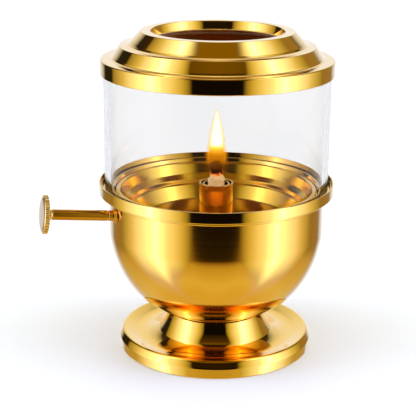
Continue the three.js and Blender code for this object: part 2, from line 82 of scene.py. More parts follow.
camera_data = bpy.data.cameras.new("studio_camera")
camera_data.sensor_width = SENSOR_WIDTH
camera_data.lens = SENSOR_WIDTH * FOCAL_PIXELS / FRAME_PIXELS
camera_data.clip_start = 0.05
camera_data.clip_end = 50
camera = new_object("studio_camera", camera_data)
camera.matrix_world = (
    Matrix.Rotation(-LAMP_TURN, 4, "Z")
    @ Matrix.Translation((CAMERA_ASIDE, -CAMERA_DISTANCE, CAMERA_HEIGHT))
    @ Matrix.Rotation(math.pi / 2 - CAMERA_DOWN, 4, "X")
    @ Matrix.Rotation(CAMERA_LEAN, 4, "Z")
)
bpy.context.scene.camera = camera
print("lens, mm:", round(camera_data.lens, 2))

# %% [markdown]
# Node trees are written in words: `put` makes a node, `feed` gives a socket a link or a plain value,
# and `maths` makes one sum. `vector` joins three numbers and `parts_of` takes them apart again,
# `spread` maps one range to another, and `ramp` gives each value a colour. The same helpers serve the
# materials, the studio and the lathe.

# %% Node helpers
def put(tree, kind, **settings):
    made = tree.nodes.new(kind)
    for name, value in settings.items():
        setattr(made, name, value)
    return made


def feed(tree, socket, value):
    if isinstance(value, bpy.types.NodeSocket):
        tree.links.new(value, socket)
    else:
        socket.default_value = value


def maths(tree, operation, first, second=0.0):
    made = put(tree, "ShaderNodeMath", operation=operation)
    feed(tree, made.inputs[0], first)
    feed(tree, made.inputs[1], second)
    return made.outputs[0]


def vector(tree, x=0.0, y=0.0, z=0.0):
    made = put(tree, "ShaderNodeCombineXYZ")
    for socket, value in zip(made.inputs, (x, y, z)):
        feed(tree, socket, value)
    return made.outputs[0]


def parts_of(tree, value):
    made = put(tree, "ShaderNodeSeparateXYZ")
    feed(tree, made.inputs[0], value)
    return made.outputs


def spread(tree, value, low, high, result_low=0.0, result_high=1.0, curve="LINEAR"):
    """A value between two limits, mapped to two results."""
    made = put(tree, "ShaderNodeMapRange", interpolation_type=curve)
    names = ("Value", "From Min", "From Max", "To Min", "To Max")
    for name, given in zip(names, (value, low, high, result_low, result_high)):
        feed(tree, made.inputs[name], given)
    return made.outputs[0]


def ramp(tree, value, stops):
    made = put(tree, "ShaderNodeValToRGB")
    elements = made.color_ramp.elements
    while len(elements) < len(stops):
        elements.new(0.5)
    for element, (place, colour) in zip(elements, stops):
        element.position = place
        element.color = (*colour, 1)
    feed(tree, made.inputs[0], value)
    return made.outputs[0]


# %% [markdown]
# A mirror-bright lamp is lit by what it reflects. The studio has two tall soft panels, one on each
# side of the lamp. Each is cool white in its middle and falls off to a warm dim rim. Between them,
# where the camera stands, it is dark, and there is a narrow dark gap behind each panel and a pale
# wall at the back. All of it is drawn on the world, as far away as a studio's walls are, by the
# angle round the lamp and the height above the horizon.

# %% Studio panels
PALE_WALL = 0.97
LIGHT_RANGE = 6
DARK = 0.004
PANEL_STOPS = [
    (24, DARK), (28, 0.3), (34, 0.62), (43, 0.97), (55, 1.42), (61, 2.2), (67, 3.4), (73, 2.3),
    (79, 1.7), (90, 1.25), (102, 0.76), (113, 0.45), (119, 0.3), (123, 0.02),
]
BACK_STOPS = [(140, 0.02), (146, 0.45), (152, 0.75), (163, 0.93), (180, PALE_WALL)]
SIDE_FILL = (0.34, 0.23, 0.07)
AMBER_STOPS = [(0.3, (DARK, DARK, DARK)), (0.74, (0.075, 0.042, 0.002)), (0.9, (0.24, 0.145, 0.006))]
to_camera = Matrix.Rotation(-LAMP_TURN, 3, "Z") @ Vector((0, -1, 0))
to_right = Matrix.Rotation(-LAMP_TURN, 3, "Z") @ Vector((1, 0, 0))

world = bpy.data.worlds.new("studio")
bpy.context.scene.world = world
world.use_nodes = True
sky = world.node_tree
sky.nodes.clear()
sky_direction = put(sky, "ShaderNodeTexCoord").outputs["Generated"]


def along(direction):
    made = put(sky, "ShaderNodeVectorMath", operation="DOT_PRODUCT")
    feed(sky, made.inputs[0], sky_direction)
    feed(sky, made.inputs[1], direction)
    return made.outputs["Value"]


def panel_light(level):
    """Warm where a panel is dim, cool where it is bright."""
    red = level * max(0.95, 1.3 - 0.3 * level)
    blue = level * min(1.6, max(0.35, 1.65 * level - 0.6))
    return red, level, blue


def soft_step(value, low, high, result_low, result_high):
    return spread(sky, value, low, high, result_low, result_high, "SMOOTHSTEP")


def mixed(blend, first, second):
    made = put(sky, "ShaderNodeMix", data_type="RGBA", blend_type=blend)
    made.inputs["Factor"].default_value = 1
    feed(sky, made.inputs["A"], first)
    feed(sky, made.inputs["B"], second)
    return made.outputs["Result"]


def dimmed(stops):
    """A ramp holds no colour above 1, so it gets a share, and the light's strength makes up for it."""
    return [(place, tuple(v / LIGHT_RANGE for v in colour)) for place, colour in stops]


# %% [markdown]
# Higher up the panels lean back, so the dark gap in front widens towards the ceiling, and the ceiling
# itself is a dark amber. The gap behind the right panel is a little lighter than the left one. Low
# down the panels fade into a warm table top, which starts a little higher under the panels than in
# the dark gap. A colour socket for a mix is chosen by its data type, which is why `mixed` asks for RGBA.

# %% Studio walls, ceiling and table
PANEL_LEAN = 28 / 180
LEAN_POWER = 2.5
CEILING = (0.19, 0.1, 0.005)
CEILING_EDGE = (0.91, 0.965)
TABLE_FADE = (-0.95, -0.42)
TABLE_SHADE = 0.08
TABLE_LIFT = 0.07
LIFT_RATE = 7.0
LIFT_POWER = 4.0
RIGHT_EDGE = (0.5, 0.6)
LOW_EDGE = (-0.27, -0.2)
TABLE_STOPS = [
    (0.375, (DARK, DARK, DARK)), (0.42, (0.24, 0.14, 0.03)), (0.545, (0.57, 0.43, 0.12)),
    (0.695, (0.68, 0.55, 0.2)), (0.84, (0.77, 0.67, 0.3)), (0.97, (0.74, 0.58, 0.2)),
]
rise = along((0, 0, 1))
rightwards = along(to_right)
sideways = maths(sky, "ABSOLUTE", rightwards)
angle_share = maths(sky, "DIVIDE", maths(sky, "ARCTAN2", sideways, along(to_camera)), math.pi)
height_power = maths(sky, "POWER", maths(sky, "MAXIMUM", rise, 0.0), LEAN_POWER)
lean = maths(sky, "MULTIPLY", height_power, PANEL_LEAN)
wall_stops = [(angle / 180, panel_light(level)) for angle, level in PANEL_STOPS]
wall_stops += [(angle / 180, (level, level, level)) for angle, level in BACK_STOPS]
walls = ramp(sky, maths(sky, "SUBTRACT", angle_share, lean), dimmed(wall_stops))
not_ceiling = soft_step(rise, *CEILING_EDGE, 1, 0)
not_table = soft_step(rise, *TABLE_FADE, TABLE_SHADE, 1)
walls = mixed("MULTIPLY", walls, maths(sky, "MULTIPLY", not_ceiling, not_table))
ceiling = ramp(sky, not_ceiling, dimmed([(0, CEILING), (1, (0, 0, 0))]))
lift_share = maths(sky, "POWER", maths(sky, "MULTIPLY", angle_share, LIFT_RATE), LIFT_POWER)
lift = maths(sky, "MINIMUM", maths(sky, "MULTIPLY", lift_share, TABLE_LIFT), TABLE_LIFT)
table = ramp(sky, maths(sky, "SUBTRACT", lift, rise), dimmed(TABLE_STOPS))
amber = ramp(sky, rise, dimmed(AMBER_STOPS))
low_sides = maths(sky, "MULTIPLY", soft_step(sideways, *RIGHT_EDGE, 0, 1), soft_step(rise, *LOW_EDGE, 1, 0))
filled = maths(sky, "MAXIMUM", soft_step(rightwards, *RIGHT_EDGE, 0, 1), low_sides)
side_fill = ramp(sky, filled, dimmed([(0, (0, 0, 0)), (1, SIDE_FILL)]))
studio = walls
for light in (table, ceiling, amber, side_fill):
    studio = mixed("LIGHTEN", studio, light)

# %% [markdown]
# The camera itself sees only a plain pale wall. A mix by the kind of ray keeps the studio for light
# and reflections.

# %% World output
studio_light = put(sky, "ShaderNodeBackground")
feed(sky, studio_light.inputs["Color"], studio)
studio_light.inputs["Strength"].default_value = LIGHT_RANGE
plain_wall = put(sky, "ShaderNodeBackground")
plain_wall.inputs["Color"].default_value = (PALE_WALL, PALE_WALL, PALE_WALL, 1)
choice = put(sky, "ShaderNodeMixShader")
feed(sky, choice.inputs[0], put(sky, "ShaderNodeLightPath").outputs["Is Camera Ray"])
feed(sky, choice.inputs[1], studio_light.outputs[0])
feed(sky, choice.inputs[2], plain_wall.outputs[0])
feed(sky, put(sky, "ShaderNodeOutputWorld").inputs[0], choice.outputs[0])
bpy.context.scene.view_settings.view_transform = "Standard"
print("studio walls:", len(wall_stops), "stops round the lamp")

# %% [markdown]
# The floor is a wide matt sheet, lit from above by a large soft sun, so that it comes out white and
# only the soft shadow round the foot shows. It is kept out of reflections, because the photograph
# has none of it in the brass, and the sun is left out of them as well.

# %% Floor
FLOOR_SIZE = 8
FLOOR_DROP = 0.05 * mm
FLOOR_PAINT = (0.77, 0.81, 0.79, 1)
OVERHEAD_LIGHT = 2.4
OVERHEAD_SPREAD = math.radians(80)
floor_paint = bpy.data.materials.new("floor_paint")
floor_paint.use_nodes = True
tree = floor_paint.node_tree
tree.nodes.clear()
matt = put(tree, "ShaderNodeBsdfDiffuse")
matt.inputs["Color"].default_value = FLOOR_PAINT
feed(tree, put(tree, "ShaderNodeOutputMaterial").inputs[0], matt.outputs[0])

floor_mesh = bpy.data.meshes.new("floor")
half = FLOOR_SIZE / 2
corners = [(-half, -half), (half, -half), (half, half), (-half, half)]
floor_mesh.from_pydata([(x, y, -FLOOR_DROP) for x, y in corners], [], [(0, 1, 2, 3)])
floor_mesh.materials.append(floor_paint)
floor = new_object("floor", floor_mesh)
floor.visible_glossy = False
floor.visible_shadow = False
sun = bpy.data.lights.new("overhead", "SUN")
sun.energy = OVERHEAD_LIGHT
sun.angle = OVERHEAD_SPREAD
overhead = new_object("overhead", sun)
overhead.visible_glossy = False
overhead.visible_transmission = False
print("floor, m:", FLOOR_SIZE)

# %% [markdown]
# Brass from a lathe has fine rings all round the axis, left by the tool and the polishing cloth. The
# rings are a noise that changes fast along the radius and the height and hardly at all round the
# axis, so it follows every turned surface without a map. It moves the roughness and tips the
# surface by a hair. A slow cloudy noise shifts the colour between a redder and a yellower brass.

# %% Brass
CLOUD_SCALE = 45.0
RING_SHARE = 0.6
NOISE_LOW = 0.3
NOISE_HIGH = 0.7


def turned_coordinates(tree, ring_scale, to_local=None):
    place = put(tree, "ShaderNodeTexCoord").outputs["Object"]
    if to_local is not None:
        mapping = put(tree, "ShaderNodeMapping")
        feed(tree, mapping.inputs["Vector"], place)
        mapping.inputs["Location"].default_value = to_local.to_translation()
        mapping.inputs["Rotation"].default_value = to_local.to_euler()
        place = mapping.outputs[0]
    x, y, z = parts_of(tree, place)
    x_squared = maths(tree, "MULTIPLY", x, x)
    y_squared = maths(tree, "MULTIPLY", y, y)
    radius = maths(tree, "SQRT", maths(tree, "ADD", x_squared, y_squared))
    across = maths(tree, "MULTIPLY", radius, ring_scale)
    upwards = maths(tree, "MULTIPLY", z, ring_scale)
    return place, vector(tree, across, upwards, maths(tree, "ARCTAN2", y, x))


def noise_of(tree, vector, scale, detail=2.0):
    made = put(tree, "ShaderNodeTexNoise")
    feed(tree, made.inputs["Vector"], vector)
    made.inputs["Scale"].default_value = scale
    made.inputs["Detail"].default_value = detail
    return made.outputs["Fac"]


def principled(name):
    made = bpy.data.materials.new(name)
    made.use_nodes = True
    return made, made.node_tree, made.node_tree.nodes["Principled BSDF"]


def brass(name, yellow, red, smooth, rough, ring_depth, ring_scale=2200, to_local=None, lacquer=1.0):
    made, tree, shader = principled(name)
    shader.inputs["Metallic"].default_value = 1
    shader.inputs["Coat Weight"].default_value = lacquer
    shader.inputs["Coat Roughness"].default_value = smooth
    place, rings = turned_coordinates(tree, ring_scale, to_local)
    ring_noise = noise_of(tree, rings, 1.0, 3.0)
    clouds = noise_of(tree, place, CLOUD_SCALE)
    feed(tree, shader.inputs["Base Color"], ramp(tree, clouds, [(NOISE_LOW, red), (NOISE_HIGH, yellow)]))
    ring_wear = maths(tree, "MULTIPLY", ring_noise, RING_SHARE)
    wear = maths(tree, "ADD", ring_wear, maths(tree, "MULTIPLY", clouds, 1 - RING_SHARE))
    feed(tree, shader.inputs["Roughness"], spread(tree, wear, NOISE_LOW, NOISE_HIGH, smooth, rough))
    bump = put(tree, "ShaderNodeBump")
    bump.inputs["Strength"].default_value = 1.0
    bump.inputs["Distance"].default_value = ring_depth * mm
    feed(tree, bump.inputs["Height"], ring_noise)
    feed(tree, shader.inputs["Normal"], bump.outputs[0])
    return made


polished = brass("polished_brass", (0.96, 0.6, 0.07), (0.95, 0.57, 0.055), 0.04, 0.08, 0.0008)
satin = brass("satin_brass", (0.96, 0.56, 0.05), (0.93, 0.52, 0.04), 0.1, 0.14, 0.002, 1500)
pan_brass = brass("pan_brass", (0.97, 0.64, 0.07), (0.95, 0.56, 0.045), 0.12, 0.19, 0.002, 1800, lacquer=0.2)
# Painted shade: the tube and sleeve get a darker, redder copy of the brass for the shade they stand in down
# in the pan.
tube_brass = brass("shaded_tube_brass", (0.78, 0.46, 0.02), (0.6, 0.29, 0.012), 0.05, 0.11, 0.002, lacquer=0)
print("brasses:", [m.name for m in (polished, satin, pan_brass, tube_brass)])

# %% [markdown]
# The chimney is clear glass with a real wall, so the light bends in it and its sides show as thin
# lines. Its specular tint is low, because the photograph shows hardly any mirror image in its front.

# %% Glass
GLASS_PALE = (0.9, 0.88, 0.85)
GLASS_DEEP = (0.865, 0.85, 0.825)
glass, tree, shader = principled("chimney_glass")
shader.inputs["Transmission Weight"].default_value = 1
shader.inputs["IOR"].default_value = 1.35
shader.inputs["Roughness"].default_value = 0
shader.inputs["Specular Tint"].default_value = (0.2, 0.2, 0.2, 1)
glass_place = put(tree, "ShaderNodeTexCoord").outputs["Object"]
glass_clouds = noise_of(tree, glass_place, 30.0)
tint = ramp(tree, glass_clouds, [(NOISE_LOW, GLASS_DEEP), (NOISE_HIGH, GLASS_PALE)])
feed(tree, shader.inputs["Base Color"], tint)
print("glass:", glass.name)

# %% [markdown]
# The lathe. A person turning brass thinks of an outline, and so does this tree: it takes the outline
# as a line of points, lays a grid with one column for each point, and bends the grid round the axis.
# The grid's vertex number says which point of the outline and which angle a vertex belongs to. The
# alternative, a Screw modifier, does the same, but the tree can be read and its sizes have names.

# %% Lathe tree
MERGE_DISTANCE = 0.001 * mm


def new_tree(name, inputs):
    """A tree with a geometry and a material going in, the named inputs, and a geometry coming out."""
    tree = bpy.data.node_groups.new(name, "GeometryNodeTree")
    for label, kind in [("Geometry", "Geometry"), *inputs, ("Material", "Material")]:
        tree.interface.new_socket(name=label, in_out="INPUT", socket_type="NodeSocket" + kind)
    tree.interface.new_socket(name="Geometry", in_out="OUTPUT", socket_type="NodeSocketGeometry")
    return tree, put(tree, "NodeGroupInput").outputs


def finish_tree(tree, given, geometry):
    """Every tree ends the same way: nothing left as an instance, and the material on."""
    real = put(tree, "GeometryNodeRealizeInstances")
    feed(tree, real.inputs["Geometry"], geometry)
    dressed = put(tree, "GeometryNodeSetMaterial")
    feed(tree, dressed.inputs["Geometry"], real.outputs[0])
    feed(tree, dressed.inputs["Material"], given["Material"])
    feed(tree, put(tree, "NodeGroupOutput").inputs[0], dressed.outputs[0])


def make_lathe():
    tree, given = new_tree("lathe", [("Sides", "Int")])
    count = put(tree, "GeometryNodeAttributeDomainSize")
    feed(tree, count.inputs[0], given["Geometry"])
    rows = maths(tree, "ADD", given["Sides"], 1.0)
    grid = put(tree, "GeometryNodeMeshGrid")
    feed(tree, grid.inputs["Vertices X"], count.outputs["Point Count"])
    feed(tree, grid.inputs["Vertices Y"], rows)
    number = put(tree, "GeometryNodeInputIndex").outputs[0]
    column = maths(tree, "FLOOR", maths(tree, "DIVIDE", maths(tree, "ADD", number, 0.5), rows))
    row = maths(tree, "SUBTRACT", number, maths(tree, "MULTIPLY", column, rows))
    sample = put(tree, "GeometryNodeSampleIndex", data_type="FLOAT_VECTOR")
    feed(tree, sample.inputs["Geometry"], given["Geometry"])
    feed(tree, sample.inputs["Value"], put(tree, "GeometryNodeInputPosition").outputs[0])
    feed(tree, sample.inputs["Index"], column)
    radius, _, height = parts_of(tree, sample.outputs[0])
    angle = maths(tree, "MULTIPLY", maths(tree, "DIVIDE", row, given["Sides"]), 2 * math.pi)
    x = maths(tree, "MULTIPLY", radius, maths(tree, "COSINE", angle))
    y = maths(tree, "MULTIPLY", radius, maths(tree, "SINE", angle))
    moved = put(tree, "GeometryNodeSetPosition")
    feed(tree, moved.inputs["Geometry"], grid.outputs["Mesh"])
    feed(tree, moved.inputs["Position"], vector(tree, x, y, height))
    merged = put(tree, "GeometryNodeMergeByDistance")
    feed(tree, merged.inputs["Geometry"], moved.outputs[0])
    merged.inputs["Distance"].default_value = MERGE_DISTANCE
    soft = put(tree, "GeometryNodeSetShadeSmooth")
    feed(tree, soft.inputs["Geometry"], merged.outputs[0])
    finish_tree(tree, given, soft.outputs[0])
    return tree


lathe = make_lathe()
print("lathe nodes:", len(lathe.nodes))

# %% [markdown]
# A modifier's inputs are set by each socket's identifier. The evaluated result is copied into a
# plain mesh, so nothing live is left on the finished piece.

# %% Run a tree and keep its mesh
def run_tree(name, start_mesh, tree, **values):
    start = new_object(name + "_start", start_mesh)
    modifier = start.modifiers.new("nodes", "NODES")
    modifier.node_group = tree
    for item in tree.interface.items_tree:
        if item.in_out == "INPUT" and item.name in values:
            modifier[item.identifier] = values[item.name]
    return keep_result(name, start)


def keep_result(name, start):
    bpy.context.view_layer.update()
    graph = bpy.context.evaluated_depsgraph_get()
    mesh = bpy.data.meshes.new_from_object(start.evaluated_get(graph), depsgraph=graph)
    mesh.name = name
    made = new_object(name, mesh)
    bpy.data.objects.remove(start)
    return made


def volume_of(mesh):
    total = 0
    mesh.calc_loop_triangles()
    for triangle in mesh.loop_triangles:
        a, b, c = (mesh.vertices[i].co for i in triangle.vertices)
        total += a.dot(b.cross(c)) / 6
    return total


# %% [markdown]
# An outline is a list of corners, each with its radius, its height and how far it is rounded. Real
# turned edges are never sharp: the small round catches a bright line, which is much of what makes
# metal look like metal. Two extra points hold the flat beside each round, so that smooth shading
# doesn't bleed into the flat.

# %% Outlines
ROUND_STEPS = 5
HOLD = 0.06
NEARLY_STRAIGHT = math.radians(88)
EDGE_SHARE = 0.45
LARGE_SIDES = 256
SMALL_SIDES = 96
SHARP_ANGLE = math.radians(32)
SEAT_GAP = 0.3


def rounded(before, corner, after, radius):
    """The points of one rounded corner. A round takes less than half of each edge beside it."""
    here = Vector(corner)
    towards = (Vector(before) - here, Vector(after) - here)
    reach = [v.length for v in towards]
    one, two = (v.normalized() for v in towards)
    half_angle = one.angle(two) / 2
    if half_angle > NEARLY_STRAIGHT:
        return [corner]
    cut_back = min(radius / math.tan(half_angle), EDGE_SHARE * min(reach))
    size = cut_back * math.tan(half_angle)
    centre = here + (one + two).normalized() * (size / math.sin(half_angle))
    start, end = here + one * cut_back - centre, here + two * cut_back - centre
    turn = start.angle_signed(end)
    points = []
    if cut_back + HOLD < EDGE_SHARE * reach[0]:
        points.append(tuple(here + one * (cut_back + HOLD)))
    for step in range(ROUND_STEPS + 1):
        angle = -turn * step / ROUND_STEPS
        spoke = Matrix.Rotation(angle, 2) @ start
        points.append(tuple(centre + spoke))
    if cut_back + HOLD < EDGE_SHARE * reach[1]:
        points.append(tuple(here + two * (cut_back + HOLD)))
    return points


def arc(radius, height, size, start, end, steps):
    """Points on a circle about (radius, height), from one angle in degrees to another."""
    angles = [math.radians(start + (end - start) * step / steps) for step in range(steps + 1)]
    return [(radius + size * math.cos(a), height + size * math.sin(a), 0) for a in angles]


def turned(name, corners, material, sides=LARGE_SIDES, place=None):
    """A piece of revolution from corners (radius, height, rounding) in millimetres."""
    points = []
    for index, (radius, height, rounding) in enumerate(corners):
        corner = (radius, height)
        if rounding > 0:
            before = corners[index - 1][:2]
            after = corners[(index + 1) % len(corners)][:2]
            points += rounded(before, corner, after, rounding)
        else:
            points.append(corner)
    area = sum(a[0] * b[1] - b[0] * a[1] for a, b in zip(points, points[1:] + points[:1]))
    if area < 0:
        points.reverse()
    if corners[0][0] > 0:
        points.append(points[0])
    outline = bpy.data.meshes.new(name + "_outline")
    outline.from_pydata([(r * mm, 0, h * mm) for r, h in points], [], [])
    made = run_tree(name, outline, lathe, Sides=sides, Material=material)
    if volume_of(made.data) < 0:
        made.data.flip_normals()
    if place is not None:
        made.data.transform(place)
    print(name, "faces:", len(made.data.polygons))
    return made


def round_size(node):
    """The outer radius, lowest and highest place of a round node, in millimetres."""
    low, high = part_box(node)
    return high.y / mm, low.z / mm, high.z / mm


def cut_away(piece, *cutters):
    """Takes the cutters' room out of a piece, and gives its new edges a crisp shading."""
    for cutter in cutters:
        modifier = piece.modifiers.new("cut", "BOOLEAN")
        modifier.operation = "DIFFERENCE"
        modifier.solver = "EXACT"
        modifier.object = cutter
    name = piece.name
    piece.name = name + "_whole"
    made = keep_result(name, piece)
    for cutter in cutters:
        bpy.data.objects.remove(cutter)
    made.data.set_sharp_from_angle(angle=SHARP_ANGLE)
    print(name, "after cutting:", len(made.data.polygons))
    return made


def paint_faces(piece, material, wanted):
    """Gives a second material to the faces that a test on their middle and normal picks out."""
    piece.data.materials.append(material)
    for face in piece.data.polygons:
        if wanted(face.center, face.normal):
            face.material_index = len(piece.data.materials) - 1


def place_piece(piece, body, slot, *nodes):
    """Makes a finished piece ride on its body, in the place of the nodes that it stands for."""
    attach(piece, body)
    if nodes:
        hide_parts(*nodes)
    return piece


# %% [markdown]
# The foot is one casting: a narrow neck, a hollow curve, a saucer that falls gently outwards from the
# curve's end, and a rounded rim that the saucer rises to. The curve is a true arc, because it was cut
# with a round tool. Underneath the foot is hollow round a middle boss.

# %% Foot
FOOT_COVE = 11
FOOT_BRIM = 7.4
COVE_END = 44
SAUCER_SLOPE = 17
SAUCER_FLOOR = 3.9
SAUCER_ROUND = 9
FOOT_WALL = 3.1
FOOT_HOLLOW_SPREAD = 3.4
FOOT_BOSS = 10
FOOT_RIM_WIDTH = 3.15
FOOT_RIM_TOP = 6.45
FOOT_RIM_ROUND = 1.2
FOOT_RIM_LEAN = 0.28
FOOT_WIDEST = 3.9
RIM_ARC = (20, 108)
RIM_STEPS = 12
COVE_ARC = (270 - COVE_END, 182)
COVE_STEPS = 40
foot_radius, foot_bottom, foot_top = round_size("foot")
cove_centre = foot_radius - FOOT_BRIM
neck_radius = cove_centre - FOOT_COVE
slope_top = foot_top - FOOT_COVE * math.cos(math.radians(COVE_END))
slope_run = (slope_top - SAUCER_FLOOR) / math.tan(math.radians(SAUCER_SLOPE))
saucer_start = cove_centre - FOOT_COVE * math.sin(math.radians(COVE_END)) + slope_run
hollow_top = foot_top - FOOT_WALL
rim_centre = foot_radius - FOOT_RIM_WIDTH + FOOT_RIM_ROUND
foot = turned("brass_foot", [
    (0, foot_bottom, 0),
    (FOOT_BOSS, foot_bottom, 0.3),
    (FOOT_BOSS, hollow_top, 0.8),
    (neck_radius - FOOT_WALL, hollow_top, 0.8),
    (neck_radius + FOOT_HOLLOW_SPREAD, foot_bottom, 0.3),
    (foot_radius - FOOT_RIM_LEAN, foot_bottom, 0.35),
    (foot_radius, FOOT_WIDEST, 1.2),
    *arc(rim_centre, FOOT_RIM_TOP - FOOT_RIM_ROUND, FOOT_RIM_ROUND, *RIM_ARC, RIM_STEPS),
    (saucer_start, SAUCER_FLOOR, SAUCER_ROUND),
    *arc(cove_centre, foot_top, FOOT_COVE, *COVE_ARC, COVE_STEPS),
    (neck_radius, foot_top, 0.3),
    (0, foot_top, 0),
], polished)
place_piece(foot, "base", "polished_brass", "foot")

# %% [markdown]
# The bowl was spun from sheet over a form. Its outline follows one power curve below an upright
# mouth, and its wall is the same shape a little smaller.

# %% Bowl
BOWL_WALL = 1.2
BOWL_FLOOR = 1.4
BOWL_UPRIGHT = 13
BOWL_DROP = 33.27
BOWL_POWER = 1.69
BOWL_ROOT = 2.94
BOWL_SEAT_RADIUS = 17.9
BOWL_SEAT_HEIGHT = 0.64
SCREW_HOLE = 2.2
OUTER_STEPS = 56
INNER_STEPS = 40
bowl_radius, bowl_bottom, bowl_top = round_size("bowl")
bowl_shoulder = bowl_top - BOWL_UPRIGHT


def bowl_curve(radius, drop, lowest, steps):
    points = []
    for step in range(steps + 1):
        height = bowl_shoulder - (bowl_shoulder - lowest) * math.sin(step / steps * math.pi / 2)
        share = (bowl_shoulder - height) / drop
        points.append((radius * (1 - share ** BOWL_POWER) ** (1 / BOWL_ROOT), height, 0))
    return points


def bowl_outside(growth):
    """The bowl's outer curve, grown a little where it is only used to cut."""
    return bowl_curve(bowl_radius + growth, BOWL_DROP + growth, bowl_bottom + BOWL_SEAT_HEIGHT, OUTER_STEPS)


inner_radius = bowl_radius - BOWL_WALL
bowl = turned("oil_bowl", [
    (bowl_radius, bowl_top, 0.3),
    *bowl_outside(0),
    (BOWL_SEAT_RADIUS, bowl_bottom + BOWL_SEAT_HEIGHT, 0.15),
    (BOWL_SEAT_RADIUS, bowl_bottom, 0.15),
    (SCREW_HOLE, bowl_bottom, 0),
    (SCREW_HOLE, bowl_bottom + BOWL_FLOOR, 0),
    *reversed(bowl_curve(inner_radius, BOWL_DROP - BOWL_WALL, bowl_bottom + BOWL_FLOOR, INNER_STEPS)),
    (inner_radius, bowl_top, 0.3),
], satin)

# %% [markdown]
# The winder runs through the bowl's wall at a slope. Its joint in the frame gives its axis, and the
# spur wheel's middle is where the axis meets the wick. Everything on it is turned about that axis.

# %% Winder axis
winder_joint = next(joint for joint in frame["joints"] if joint["name"] == "winder_turn")
outward = Vector(winder_joint["axis"]).normalized()
aside = Vector((0, 1, 0))
upward = aside.cross(outward)
winder_turned = Matrix((upward, aside, outward)).transposed().to_4x4()
winder = Matrix.Translation(winder_joint["pos_m"]) @ winder_turned
to_winder = winder.inverted()


def winder_reach(node):
    """How far along the winder's axis a node starts and ends, and its radius, in millimetres."""
    points = [to_winder @ vertex.co for vertex in frame["nodes"][node].data.vertices]
    radius = max(math.hypot(p.x, p.y) for p in points)
    return min(p.z for p in points) / mm, max(p.z for p in points) / mm, radius / mm


spindle_start, spindle_end, shank_radius = winder_reach("spindle")
bush_start, bush_end, bush_radius = winder_reach("spindle_bush")
knob_start, knob_end, knob_radius = winder_reach("knob")
print("spindle, mm:", round(spindle_start, 2), round(spindle_end, 2), round(shank_radius, 2))
print("knob, mm:", round(knob_start, 2), round(knob_end, 2), round(knob_radius, 2))

# %% Bush and the bowl's hole
SPINDLE_RADIUS = 1.0
BEARING_GAP = 0.12
BUSH_WALL = 0.65
BUSH_STAND_OFF = 2.8
BUSH_ROOT = 3
BUSH_FLARE = 1.3
BUSH_NECK = 1.95
BOWL_CLEAR = 0.15
CUTTER_OVERRUN = 2
bush_bore = SPINDLE_RADIUS + BEARING_GAP
bush_core = bush_bore + BUSH_WALL
wall_station = bush_end - BUSH_STAND_OFF
spindle_brass = brass(
    "spindle_brass", (0.72, 0.38, 0.04), (0.55, 0.24, 0.02), 0.08, 0.16, 0.001,
    to_local=to_winder, lacquer=0)


def winder_rod(name, radius, start, end):
    corners = [(0, start, 0), (radius, start, 0), (radius, end, 0), (0, end, 0)]
    return turned(name, corners, spindle_brass, SMALL_SIDES, winder)


bowl_body = turned("bowl_body", [
    (0, bowl_top, 0),
    (bowl_radius + BOWL_CLEAR, bowl_top, 0),
    *bowl_outside(BOWL_CLEAR),
    (0, bowl_bottom + BOWL_SEAT_HEIGHT, 0),
], satin)
bush = turned("spindle_bush_turned", [
    (bush_bore, wall_station - BUSH_ROOT, 0),
    (bush_radius, wall_station - BUSH_ROOT, 0),
    (bush_radius, wall_station, 0.5),
    (BUSH_NECK, wall_station + BUSH_FLARE, 0.8),
    (BUSH_NECK, bush_end, 0.25),
    (bush_bore, bush_end, 0.1),
], spindle_brass, SMALL_SIDES, winder)
bush = cut_away(bush, bowl_body)
place_piece(bush, "base", "aged_brass")
core = turned("bush_core", [
    (bush_bore, bush_start, 0.1),
    (bush_core, bush_start, 0.2),
    (bush_core, wall_station - 0.2, 0),
    (bush_bore, wall_station - 0.2, 0),
], spindle_brass, SMALL_SIDES, winder)
place_piece(core, "base", "aged_brass", "spindle_bush")
bowl_hole = winder_rod(
    "bowl_hole", bush_core + SEAT_GAP, bush_start - CUTTER_OVERRUN, bush_end + CUTTER_OVERRUN)
bowl = cut_away(bowl, bowl_hole)
place_piece(bowl, "base", "satin_brass", "bowl")

# %% [markdown]
# The ring on the bowl's mouth has an outer band, a bead under it, a channel that the glass stands in
# and a collar inside the glass. A skirt drops into the bowl and a ledge carries the pan. The inner
# walls of the band and the collar lean out by a hair, so that they mirror the bright panels.

# %% Gallery ring
gallery_radius, gallery_bottom, _ = round_size("gallery_ring")
glass_radius, glass_bottom, glass_top = round_size("glass_chimney")
GLASS_WALL = 2.2
RIM_WALL = 0.9
BEAD_STEP = 1.1
BEAD_HEIGHT = 1.0
COLLAR_GAP = 0.5
COLLAR_WALL = 1.2
COLLAR_HEIGHT = 2.1
RIM_LEAN = 0.4
COLLAR_LEAN = 0.75
LEDGE_WIDTH = 0.9
LEDGE_THICKNESS = 1.1
SKIRT_WALL = 1.1
RIM_RISE = 3.33
gallery_underside = bowl_top + SEAT_GAP
channel_floor = glass_bottom - SEAT_GAP
rim_top = channel_floor + RIM_RISE
collar_outer = glass_radius - GLASS_WALL - COLLAR_GAP
collar_top = channel_floor + COLLAR_HEIGHT
collar_inner = collar_outer - COLLAR_WALL
rim_inner = gallery_radius - RIM_WALL
skirt_outer = inner_radius - SEAT_GAP
ledge_inner = collar_inner - LEDGE_WIDTH
ledge_top = channel_floor - 0.2
